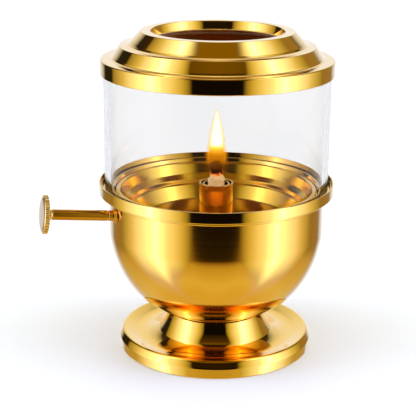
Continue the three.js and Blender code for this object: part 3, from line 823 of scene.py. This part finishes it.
gallery = turned("gallery_ring_turned", [
    (skirt_outer - SKIRT_WALL, gallery_bottom, 0.2),
    (skirt_outer, gallery_bottom, 0.2),
    (skirt_outer, gallery_underside, 0),
    (gallery_radius - BEAD_STEP, gallery_underside, 0.45),
    (gallery_radius - BEAD_STEP, gallery_underside + BEAD_HEIGHT, 0.12),
    (gallery_radius, gallery_underside + BEAD_HEIGHT, 0.35),
    (gallery_radius, rim_top, 0.4),
    (rim_inner + RIM_LEAN, rim_top, 0.15),
    (rim_inner - RIM_LEAN, channel_floor, 0.3),
    (collar_outer, channel_floor, 0.3),
    (collar_outer, collar_top, 0.15),
    (collar_inner + COLLAR_LEAN, collar_top, 0.15),
    (collar_inner, ledge_top, 0.2),
    (ledge_inner, ledge_top, 0.2),
    (ledge_inner, ledge_top - LEDGE_THICKNESS, 0.2),
], polished)
place_piece(gallery, "base", "polished_brass", "gallery_ring")

# %% [markdown]
# The pan closes the bowl round the burner. It was pressed in steps, which show as bright and dark
# rings, and its floor is flat. The spindle comes through its wall.

# %% Burner pan
PAN_WALL = 0.85
PAN_FLOOR_WALL = 0.9
PAN_DEPTH = 13.1
PAN_RUN = 6.45
PAN_HOLE_GAP = 0.6
PAN_HOLE_REACH = 6
SLEEVE_RADIUS = 5.1
PAN_STEPS = [
    (0, 0.05, 0.3), (0.149, 0.324, 0.5), (0.408, 0.466, 0.4), (0.457, 0.584, 0.3), (0.581, 0.595, 0.5),
    (1, 1, 0.6),
]
pan_radius, _, pan_top = round_size("burner_pan")
pan_floor = pan_top - PAN_DEPTH
pan_wall_top = ledge_inner - SEAT_GAP - PAN_WALL
pan_upper = [(pan_wall_top - PAN_RUN * a, pan_top - PAN_DEPTH * b, c) for a, b, c in PAN_STEPS]
pan_lower = [(r + PAN_WALL, h - PAN_FLOOR_WALL, c) for r, h, c in reversed(pan_upper)]
pan_hole = SLEEVE_RADIUS + SEAT_GAP
pan = turned("burner_pan_turned", [
    (pan_radius, ledge_top + SEAT_GAP, 0.15),
    (pan_radius, pan_top, 0.3),
    (pan_wall_top + 0.3, pan_top, 0.2),
    *pan_upper,
    (pan_hole, pan_floor, 0.1),
    (pan_hole, pan_floor - PAN_FLOOR_WALL, 0.1),
    *pan_lower,
    (pan_wall_top + PAN_WALL, ledge_top + SEAT_GAP, 0.1),
], pan_brass)
pan_hole_start = pan_upper[-1][0] - PAN_HOLE_REACH
pan_cutter = winder_rod("pan_hole", SPINDLE_RADIUS + PAN_HOLE_GAP, pan_hole_start, bush_start - SEAT_GAP)
pan = cut_away(pan, pan_cutter)
place_piece(pan, "base", "satin_brass", "burner_pan")

# %% [markdown]
# Two tubes stand in each other round the wick. Both are slotted at the foot for the spindle and the
# spur wheel. Their upper ends show as two bright rings.

# %% Burner tube and sleeve
tube_radius, tube_bottom, tube_top = round_size("burner_tube")
TUBE_WALL = 0.75
SLEEVE_WALL = 0.7
FLANGE_THICKNESS = 0.6
DRIVE_GAP = 0.3
DRIVE_OVERRUN = 4
wheel_start, wheel_end, wheel_radius = winder_reach("wick_wheel")
flange_radius, sleeve_bottom, sleeve_top = round_size("wick_sleeve")
flange_bottom = pan_floor + SEAT_GAP
flange_top = flange_bottom + FLANGE_THICKNESS
tube_inner = tube_radius - TUBE_WALL
sleeve_inner = SLEEVE_RADIUS - SLEEVE_WALL


def drive_room():
    """Room for the wheel, and for the spindle from its inner end to well outside the tube."""
    wheel_room = winder_rod(
        "wheel_room", wheel_radius + DRIVE_GAP, wheel_start - DRIVE_GAP, wheel_end + DRIVE_GAP)
    spindle_room = winder_rod(
        "spindle_room", SPINDLE_RADIUS + DRIVE_GAP, spindle_start - DRIVE_GAP, tube_radius + DRIVE_OVERRUN)
    return wheel_room, spindle_room


tube = turned("burner_tube_turned", [
    (tube_inner, tube_bottom, 0.1),
    (tube_radius, tube_bottom, 0.1),
    (tube_radius, tube_top, 0.2),
    (tube_inner, tube_top, 0.2),
], tube_brass, SMALL_SIDES)
tube = cut_away(tube, *drive_room())
place_piece(tube, "base", "aged_brass", "burner_tube")
sleeve = turned("wick_sleeve_turned", [
    (sleeve_inner, sleeve_bottom, 0.1),
    (SLEEVE_RADIUS, sleeve_bottom, 0.1),
    (SLEEVE_RADIUS, flange_bottom, 0),
    (flange_radius, flange_bottom, 0.1),
    (flange_radius, flange_top, 0.2),
    (SLEEVE_RADIUS, flange_top, 0.2),
    (SLEEVE_RADIUS, sleeve_top, 0.2),
    (sleeve_inner, sleeve_top, 0.2),
], tube_brass, SMALL_SIDES)
sleeve = cut_away(sleeve, *drive_room())
place_piece(sleeve, "base", "aged_brass", "wick_sleeve")

# %% [markdown]
# The spindle is a thin shaft inside the lamp and a thick shank outside. It is kept out of mirror
# images, because its image in the foot made a mark that the photograph does not have.

# %% Spindle
KNOB_PIN = 1.2
shank_start = bush_end + SEAT_GAP
shank_end = knob_start - SEAT_GAP
spindle = turned("spindle_turned", [
    (0, spindle_start, 0),
    (SPINDLE_RADIUS, spindle_start, 0.2),
    (SPINDLE_RADIUS, shank_start, 0),
    (shank_radius, shank_start, 0.25),
    (shank_radius, shank_end, 0.15),
    (KNOB_PIN, shank_end, 0),
    (KNOB_PIN, spindle_end, 0),
    (0, spindle_end, 0),
], spindle_brass, SMALL_SIDES, winder)
spindle.visible_glossy = False
place_piece(spindle, "winder", "aged_brass", "spindle")

# %% [markdown]
# The knob is a disc with ridges round its edge for the fingers. The ridges repeat, so a tree makes
# them: it stands one round ridge on each of a ring of points and joins them to the disc.

# %% Knob ridges tree
RIDGE_SIDES = 12


def make_ridge_tree():
    sizes = ("Ring Radius", "Ridge Radius", "Ridge Length", "Middle")
    tree, given = new_tree("ridges", [("Count", "Int"), *((size, "Float") for size in sizes)])
    ring = put(tree, "GeometryNodeMeshCircle")
    feed(tree, ring.inputs["Vertices"], given["Count"])
    feed(tree, ring.inputs["Radius"], given["Ring Radius"])
    lifted = put(tree, "GeometryNodeSetPosition")
    feed(tree, lifted.inputs["Geometry"], ring.outputs[0])
    feed(tree, lifted.inputs["Offset"], vector(tree, z=given["Middle"]))
    ridge = put(tree, "GeometryNodeMeshCylinder", fill_type="TRIANGLE_FAN")
    ridge.inputs["Vertices"].default_value = RIDGE_SIDES
    feed(tree, ridge.inputs["Radius"], given["Ridge Radius"])
    feed(tree, ridge.inputs["Depth"], given["Ridge Length"])
    ridges = put(tree, "GeometryNodeInstanceOnPoints")
    feed(tree, ridges.inputs["Points"], lifted.outputs[0])
    feed(tree, ridges.inputs["Instance"], ridge.outputs["Mesh"])
    together = put(tree, "GeometryNodeJoinGeometry")
    tree.links.new(ridges.outputs[0], together.inputs[0])
    tree.links.new(given["Geometry"], together.inputs[0])
    finish_tree(tree, given, together.outputs[0])
    return tree


# %% Knob
KNOB_RIDGES = 28
KNOB_RIDGE_DEPTH = 0.42
KNOB_HUB = 1.95
KNOB_HUB_LENGTH = 1.5
KNOB_BEVEL = 0.45
KNOB_DISH = 0.12
KNOB_BORE = 1.32
KNOB_SKIN = 0.7
RIDGE_SHARE = 0.62
knob_face = knob_start + KNOB_HUB_LENGTH
knob_core = knob_radius - KNOB_RIDGE_DEPTH
knob_brass = brass("knob_brass", (0.9, 0.62, 0.2), (0.8, 0.48, 0.11), 0.12, 0.24, 0.002, 1800, to_winder)
knob = turned("knob_disc", [
    (KNOB_BORE, knob_start, 0),
    (KNOB_HUB, knob_start, 0.3),
    (KNOB_HUB, knob_face, 0.2),
    (knob_core, knob_face, 0.25),
    (knob_core, knob_end - KNOB_BEVEL, 0.1),
    (knob_core - KNOB_BEVEL, knob_end - KNOB_DISH, 0.3),
    (knob_core - KNOB_BEVEL * 3, knob_end, 0.3),
    (0, knob_end, 0),
    (0, knob_end - KNOB_SKIN, 0),
    (KNOB_BORE, knob_end - KNOB_SKIN, 0),
], knob_brass, SMALL_SIDES)
ridge_length = knob_end - KNOB_BEVEL - knob_face
ridge_radius = math.pi * knob_core / KNOB_RIDGES * RIDGE_SHARE
disc_mesh = knob.data.copy()
bpy.data.objects.remove(knob)
knob = run_tree("ridged_knob", disc_mesh, make_ridge_tree(), **{
    "Count": KNOB_RIDGES,
    "Ring Radius": (knob_radius - ridge_radius) * mm,
    "Ridge Radius": ridge_radius * mm,
    "Ridge Length": ridge_length * mm,
    "Middle": (knob_face + ridge_length / 2) * mm,
    "Material": knob_brass,
})
knob.data.transform(winder)
knob.visible_glossy = False
place_piece(knob, "winder", "satin_brass", "knob")
print("knob faces:", len(knob.data.polygons))

# %% [markdown]
# The chimney is a plain glass cylinder with fire-polished edges.

# %% Glass chimney
glass_inner = glass_radius - GLASS_WALL
chimney = turned("glass_cylinder", [
    (glass_inner, glass_bottom, 0.7),
    (glass_radius, glass_bottom, 0.7),
    (glass_radius, glass_top, 0.7),
    (glass_inner, glass_top, 0.7),
], glass)
place_piece(chimney, "chimney", "chimney_glass", "glass_chimney")

# %% [markdown]
# The lid was spun in steps: an upright band round the glass, two sloping bevels with a dished land
# between them, and a lip round the throat. Its inside is a dark red-brown: painted shade under the lid.

# %% Lid
LID_SKIRT_WALL = 0.85
LID_LEDGE_WIDTH = 3
LID_RIM_RISE = 2.95
LID_RIM_LAND = 4.6
LID_LOWER_RUN = 2.45
LID_LAND = 3.7
LID_UPPER_RUN = 3.95
LID_LIP = 3.6
LID_WALL = 1.3
LID_RIM_DISH = 1.05
LID_LOWER_RISE = 3.7
LID_LAND_RISE = 1
LAND_LIFT = 0.1
RIM_DISH_LIFT = 0.42
LAND_DISH_LIFT = 0.4
THROAT_DEPTH = 3.4
THROAT_LEAN = 0.9
THROAT_WALL = 1.2
SKIN_SHARE = 0.6
lid_radius, lid_bottom, lid_top = round_size("lid_cap")
lid_inner = lid_radius - LID_SKIRT_WALL
lid_ledge = glass_top + SEAT_GAP
lid_rim_top = lid_ledge + LID_RIM_RISE
lower_foot = lid_radius - LID_RIM_LAND
lower_top = lower_foot - LID_LOWER_RUN
upper_foot = lower_top - LID_LAND
lip_outer = upper_foot - LID_UPPER_RUN
lip_inner = lip_outer - LID_LIP
lower_start = lid_rim_top + LID_RIM_DISH
lower_end = lower_start + LID_LOWER_RISE
upper_start = lower_end + LID_LAND_RISE
skin = LID_WALL * SKIN_SHARE
lid = turned("stepped_lid", [
    (lid_inner, lid_bottom, 0.2),
    (lid_radius, lid_bottom, 0.3),
    (lid_radius, lid_rim_top, 0.7),
    (lower_foot + LID_RIM_DISH, lid_rim_top + LAND_LIFT, 0.5),
    (lower_foot + LID_RIM_DISH * 0.3, lid_rim_top + RIM_DISH_LIFT, 0.4),
    (lower_foot, lower_start, 0.3),
    (lower_top, lower_end, 0.35),
    (upper_foot + LID_LAND_RISE * 2, lower_end + LAND_LIFT, 0.5),
    (upper_foot + LID_LAND_RISE * 0.7, lower_end + LAND_DISH_LIFT, 0.4),
    (upper_foot, upper_start, 0.3),
    (lip_outer, lid_top, 0.4),
    (lip_inner, lid_top, 0.4),
    (lip_inner - THROAT_LEAN, lid_top - THROAT_DEPTH, 0.3),
    (lip_inner + THROAT_WALL, lid_top - THROAT_DEPTH, 0.2),
    (lip_inner + THROAT_WALL, lid_top - LID_WALL, 0.4),
    (lip_outer - skin, lid_top - LID_WALL, 0.4),
    (upper_foot - skin, upper_start - LID_WALL, 0.4),
    (lower_top - skin, lower_end - LID_WALL, 0.4),
    (lower_foot - skin, lower_start - LID_WALL, 0.4),
    (lid_inner - LID_LEDGE_WIDTH, lid_rim_top - LID_WALL, 0.3),
    (lid_inner - LID_LEDGE_WIDTH, lid_ledge, 0.2),
    (lid_inner, lid_ledge, 0.2),
], polished)
# Painted shade: a dark red-brown brass on the lid's inside stands in for the shade under the lid.
painted_lid_shade = brass("lid_shade_brass", (0.3, 0.1, 0.015), (0.16, 0.045, 0.01), 0.25, 0.4, 0.004, lacquer=0)


def in_lid_shade(middle, normal):
    """True inside the lid: between its ledge and the throat, on faces that look down or inwards."""
    inwards = normal.dot(Vector((middle.x, middle.y, 0))) < 0
    return lid_ledge * mm < middle.z < (lid_top - THROAT_DEPTH) * mm and (normal.z < -0.1 or inwards)


# The painted shade goes on the faces inside the lid that look down or inwards.
paint_faces(lid, painted_lid_shade, in_lid_shade)
place_piece(lid, "lid", "polished_brass", "lid_cap")

# %% [markdown]
# The wick is a loose cotton cord. A tree winds one strand into a helix, copies it round the axis,
# and roughens it, drawn in near the top, where the flame has burnt it thin.

# %% Wick strands tree
TURN_STEPS = 90
STRAND_SIDES = 10
NECK_SHARE = 0.55
FLUFF_SCALE = 900.0
FLUFF_LEVEL = 0.6


def make_strand_tree():
    sizes = ("Turns", "Coil Radius", "Strand Radius", "Height", "Bottom", "Neck Start", "Neck End", "Fray")
    tree, given = new_tree("strands", [("Strands", "Int"), *((size, "Float") for size in sizes)])
    helix = put(tree, "GeometryNodeCurveSpiral")
    helix.inputs["Resolution"].default_value = TURN_STEPS
    feed(tree, helix.inputs["Rotations"], given["Turns"])
    feed(tree, helix.inputs["Start Radius"], given["Coil Radius"])
    feed(tree, helix.inputs["End Radius"], given["Coil Radius"])
    feed(tree, helix.inputs["Height"], given["Height"])
    section = put(tree, "GeometryNodeCurvePrimitiveCircle")
    section.inputs["Resolution"].default_value = STRAND_SIDES
    feed(tree, section.inputs["Radius"], given["Strand Radius"])
    strand = put(tree, "GeometryNodeCurveToMesh")
    feed(tree, strand.inputs["Curve"], helix.outputs[0])
    feed(tree, strand.inputs["Profile Curve"], section.outputs[0])
    strand.inputs["Fill Caps"].default_value = True
    points = put(tree, "GeometryNodePoints")
    feed(tree, points.inputs["Count"], given["Strands"])
    number = put(tree, "GeometryNodeInputIndex").outputs[0]
    turn = maths(tree, "DIVIDE", maths(tree, "MULTIPLY", number, 2 * math.pi), given["Strands"])
    copies = put(tree, "GeometryNodeInstanceOnPoints")
    feed(tree, copies.inputs["Points"], points.outputs[0])
    feed(tree, copies.inputs["Instance"], strand.outputs[0])
    feed(tree, copies.inputs["Rotation"], vector(tree, z=turn))
    real = put(tree, "GeometryNodeRealizeInstances")
    feed(tree, real.inputs["Geometry"], copies.outputs[0])
    place = put(tree, "GeometryNodeInputPosition").outputs[0]
    x, y, z = parts_of(tree, place)
    height = maths(tree, "ADD", z, given["Bottom"])
    neck = spread(tree, height, given["Neck Start"], given["Neck End"], 1.0, NECK_SHARE, "SMOOTHSTEP")
    fluff = put(tree, "ShaderNodeTexNoise")
    fluff.inputs["Scale"].default_value = FLUFF_SCALE
    feed(tree, fluff.inputs["Vector"], place)
    tuft = maths(tree, "MULTIPLY", maths(tree, "SUBTRACT", fluff.outputs["Fac"], FLUFF_LEVEL), given["Fray"])
    scale = maths(tree, "MULTIPLY", neck, maths(tree, "ADD", 1.0, tuft))
    scaled_x = maths(tree, "MULTIPLY", x, scale)
    scaled_y = maths(tree, "MULTIPLY", y, scale)
    moved = put(tree, "GeometryNodeSetPosition")
    feed(tree, moved.inputs["Geometry"], real.outputs[0])
    feed(tree, moved.inputs["Position"], vector(tree, scaled_x, scaled_y, height))
    soft = put(tree, "GeometryNodeSetShadeSmooth")
    feed(tree, soft.inputs["Geometry"], moved.outputs[0])
    finish_tree(tree, given, soft.outputs[0])
    return tree


# %% Cotton
CHAR_START = 65.9
CHAR_FULL = 67.5
CHAR_WANDER = 2.2
FIBRE_DEPTH = 0.15
cotton, tree, shader = principled("cotton")
cotton_place = put(tree, "ShaderNodeTexCoord").outputs["Object"]
fibres = noise_of(tree, cotton_place, 1400.0, 4.0)
ragged = maths(tree, "SUBTRACT", noise_of(tree, cotton_place, 500.0), 0.5)
wander = maths(tree, "MULTIPLY", ragged, CHAR_WANDER * mm)
char_line = maths(tree, "ADD", parts_of(tree, cotton_place)[2], wander)
burnt = spread(tree, char_line, CHAR_START * mm, CHAR_FULL * mm)
cotton_colour = ramp(tree, burnt, [
    (0.0, (0.95, 0.74, 0.42)), (0.35, (0.85, 0.45, 0.14)), (0.6, (0.3, 0.06, 0.01)),
    (1.0, (0.012, 0.006, 0.005)),
])
feed(tree, shader.inputs["Base Color"], cotton_colour)
shader.inputs["Roughness"].default_value = 0.9
shader.inputs["Specular IOR Level"].default_value = 0.02
# Painted light: below the char the cotton glows warm, as painted flame light on it; at the char the red glow
# is the ember's own.
flame_light_and_ember_glow = ramp(tree, burnt, [
    (0.0, (0.32, 0.2, 0.07)), (0.3, (0.6, 0.27, 0.05)), (0.55, (0.7, 0.12, 0.01)),
    (0.85, (0.03, 0.003, 0.0)),
])
feed(tree, shader.inputs["Emission Color"], flame_light_and_ember_glow)
shader.inputs["Emission Strength"].default_value = 1
fibre_bump = put(tree, "ShaderNodeBump")
fibre_bump.inputs["Distance"].default_value = FIBRE_DEPTH * mm
feed(tree, fibre_bump.inputs["Height"], fibres)
feed(tree, shader.inputs["Normal"], fibre_bump.outputs[0])
print("cotton chars from", CHAR_START, "to", CHAR_FULL, "mm")

# %% Wick
STRANDS = 9
STRAND_RADIUS = 0.85
STRAND_TURNS = 1.6
STRAND_MARGIN = 0.1
WICK_RAISED = 0.9
WICK_TRIM = 3.4
NECK_START = 64.8
NECK_END = 68.6
FRAY = 0.9
wick_radius, wick_bottom, wick_top = round_size("wick")
point_mesh = bpy.data.meshes.new("wick_seed")
wick = run_tree("cotton_wick", point_mesh, make_strand_tree(), **{
    "Strands": STRANDS,
    "Turns": STRAND_TURNS,
    "Coil Radius": (wick_radius - STRAND_RADIUS - STRAND_MARGIN) * mm,
    "Strand Radius": STRAND_RADIUS * mm,
    "Height": (wick_top - wick_bottom - WICK_TRIM) * mm,
    "Bottom": (wick_bottom + WICK_RAISED) * mm,
    "Neck Start": NECK_START * mm,
    "Neck End": NECK_END * mm,
    "Fray": FRAY,
    "Material": cotton,
})
place_piece(wick, "wick", "cotton_wick", "wick")
print("wick faces:", len(wick.data.polygons))

# %% [markdown]
# The burnt tip is a small crumbling lump. It starts as a fine ball that a noise pushes in and out.

# %% Burnt tip
TIP_RADIUS = 2.1
TIP_MIDDLE = 69.4
TIP_STRETCH = 1.08
LUMPS = ((1.3, 0.22), (4.1, 0.08))
ball = bmesh.new()
bmesh.ops.create_icosphere(ball, subdivisions=5, radius=TIP_RADIUS)
for vertex in ball.verts:
    swell = sum(noise.noise(vertex.co * fineness) * depth for fineness, depth in LUMPS)
    vertex.co *= 1 + swell
    vertex.co.z = vertex.co.z * TIP_STRETCH + TIP_MIDDLE
    vertex.co *= mm
tip_mesh = bpy.data.meshes.new("burnt_tip")
ball.to_mesh(tip_mesh)
ball.free()
tip_mesh.shade_smooth()
tip_mesh.materials.append(cotton)
tip = new_object("burnt_tip", tip_mesh)
place_piece(tip, "wick", "cotton_wick")
print("tip faces:", len(tip_mesh.polygons))

# %% [markdown]
# The flame is light, not a solid. Four thin shells stand in each other: a white core, a yellow
# coat, and a faint orange veil and halo. Each glows and lets what is behind it through, most of all
# near the wick. The colours run up the flame: brown and orange over the wick, then yellow, then
# nearly white.

# %% Flame materials
FLAME_BASE = 66.8
FLAME_TIP = 91
FLAME_FULL = 4.55
FLAME_TAPER = 0.74
FLAME_SWELL = 0.1


def flame_material(name, strength, stops):
    """Each stop is a share of the flame's height, a colour, and how much it hides what is behind."""
    made = bpy.data.materials.new(name)
    made.use_nodes = True
    tree = made.node_tree
    tree.nodes.clear()
    upwards = parts_of(tree, put(tree, "ShaderNodeTexCoord").outputs["Object"])[2]
    height = spread(tree, upwards, FLAME_BASE * mm, FLAME_TIP * mm)
    colours = [(share, tuple(v / strength for v in colour)) for share, colour, hiding in stops]
    veils = [(share, (hiding, hiding, hiding)) for share, colour, hiding in stops]
    fire = put(tree, "ShaderNodeEmission")
    feed(tree, fire.inputs["Color"], ramp(tree, height, colours))
    fire.inputs["Strength"].default_value = strength
    mix = put(tree, "ShaderNodeMixShader")
    feed(tree, mix.inputs[0], ramp(tree, height, veils))
    feed(tree, mix.inputs[1], put(tree, "ShaderNodeBsdfTransparent").outputs[0])
    feed(tree, mix.inputs[2], fire.outputs[0])
    feed(tree, put(tree, "ShaderNodeOutputMaterial").inputs[0], mix.outputs[0])
    return made


core_fire = flame_material("flame_core", 4, [
    (0.24, (0.1, 0.02, 0.0), 0.0), (0.29, (0.2, 0.045, 0.0), 0.5), (0.345, (0.5, 0.13, 0.0), 0.9),
    (0.39, (1.2, 0.42, 0.0), 1.0), (0.43, (2.2, 1.2, 0.08), 1.0), (0.49, (4.0, 3.8, 3.2), 1.0),
    (1.0, (3.8, 3.4, 2.2), 1.0),
])
coat_fire = flame_material("flame_coat", 2, [
    (0.05, (1.5, 0.4, 0.0), 0.0), (0.2, (1.7, 0.45, 0.0), 0.06), (0.31, (1.8, 0.6, 0.0), 0.2),
    (0.42, (1.8, 0.95, 0.08), 0.5), (0.6, (1.8, 1.2, 0.4), 0.6), (1.0, (1.8, 1.2, 0.4), 0.5),
])
veil_fire = flame_material("flame_veil", 1, [
    (0.08, (1.3, 0.4, 0.0), 0.0), (0.24, (1.3, 0.42, 0.0), 0.03), (0.36, (1.3, 0.55, 0.0), 0.1),
    (0.5, (1.3, 0.8, 0.2), 0.12), (1.0, (1.2, 0.85, 0.35), 0.14),
])

# %% [markdown]
# One formula gives the drop shape of all the shells: it swells fast over the wick and tapers
# slowly to the tip.

# %% Flame
FLAME_STEPS = 44
FLAME_SIDES = 48


def flame_shell(name, width, growth, material):
    """One shell, as wide as a share of the full flame and a little longer at both ends."""
    bottom = FLAME_BASE - growth
    length = FLAME_TIP - FLAME_BASE + growth * 2
    corners = [(0, bottom, 0)]
    for step in range(1, FLAME_STEPS):
        share = step / FLAME_STEPS
        reach = FLAME_FULL * (1 - share) ** FLAME_TAPER * (1 - math.exp(-share / FLAME_SWELL))
        corners.append((width * reach, bottom + length * share, 0))
    corners.append((0, FLAME_TIP + growth, 0))
    made = turned(name, corners, material, FLAME_SIDES)
    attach(made, "wick")


flame_shell("flame_core", 0.8, -0.6, core_fire)
flame_shell("flame_coat", 1.0, 0.0, coat_fire)
flame_shell("flame_veil", 1.14, 0.5, veil_fire)
flame_shell("flame_halo", 1.3, 1.0, veil_fire)

# %% [markdown]
# Some nodes of the frame are hidden inside, and their shape is right as it is. They only get their
# finish: the nut, the screw, its seal, the clip and the spur wheel.

# %% Inner pieces
def plain(name, colour, metal, low, high):
    made, tree, shader = principled(name)
    shader.inputs["Metallic"].default_value = metal
    grain = noise_of(tree, put(tree, "ShaderNodeTexCoord").outputs["Object"], 700.0)
    darker = tuple(0.8 * c for c in colour)
    feed(tree, shader.inputs["Base Color"], ramp(tree, grain, [(0.35, darker), (0.65, colour)]))
    feed(tree, shader.inputs["Roughness"], spread(tree, grain, NOISE_LOW, NOISE_HIGH, low, high))
    return made


steel = plain("spring_steel", (0.5, 0.5, 0.5), 1, 0.25, 0.4)
seal = plain("seal_rubber", (0.03, 0.027, 0.025), 0, 0.6, 0.8)
INNER_FINISH = {
    "sleeve_nut": tube_brass, "bowl_screw": tube_brass, "screw_seal_washer": seal,
    "spindle_clip": steel, "wick_wheel": spindle_brass,
}
for node_name, finish in INNER_FINISH.items():
    mesh = frame["nodes"][node_name].data
    mesh.materials.clear()
    mesh.materials.append(finish)
print("inner pieces:", sorted(INNER_FINISH))

# %% Finish
import json
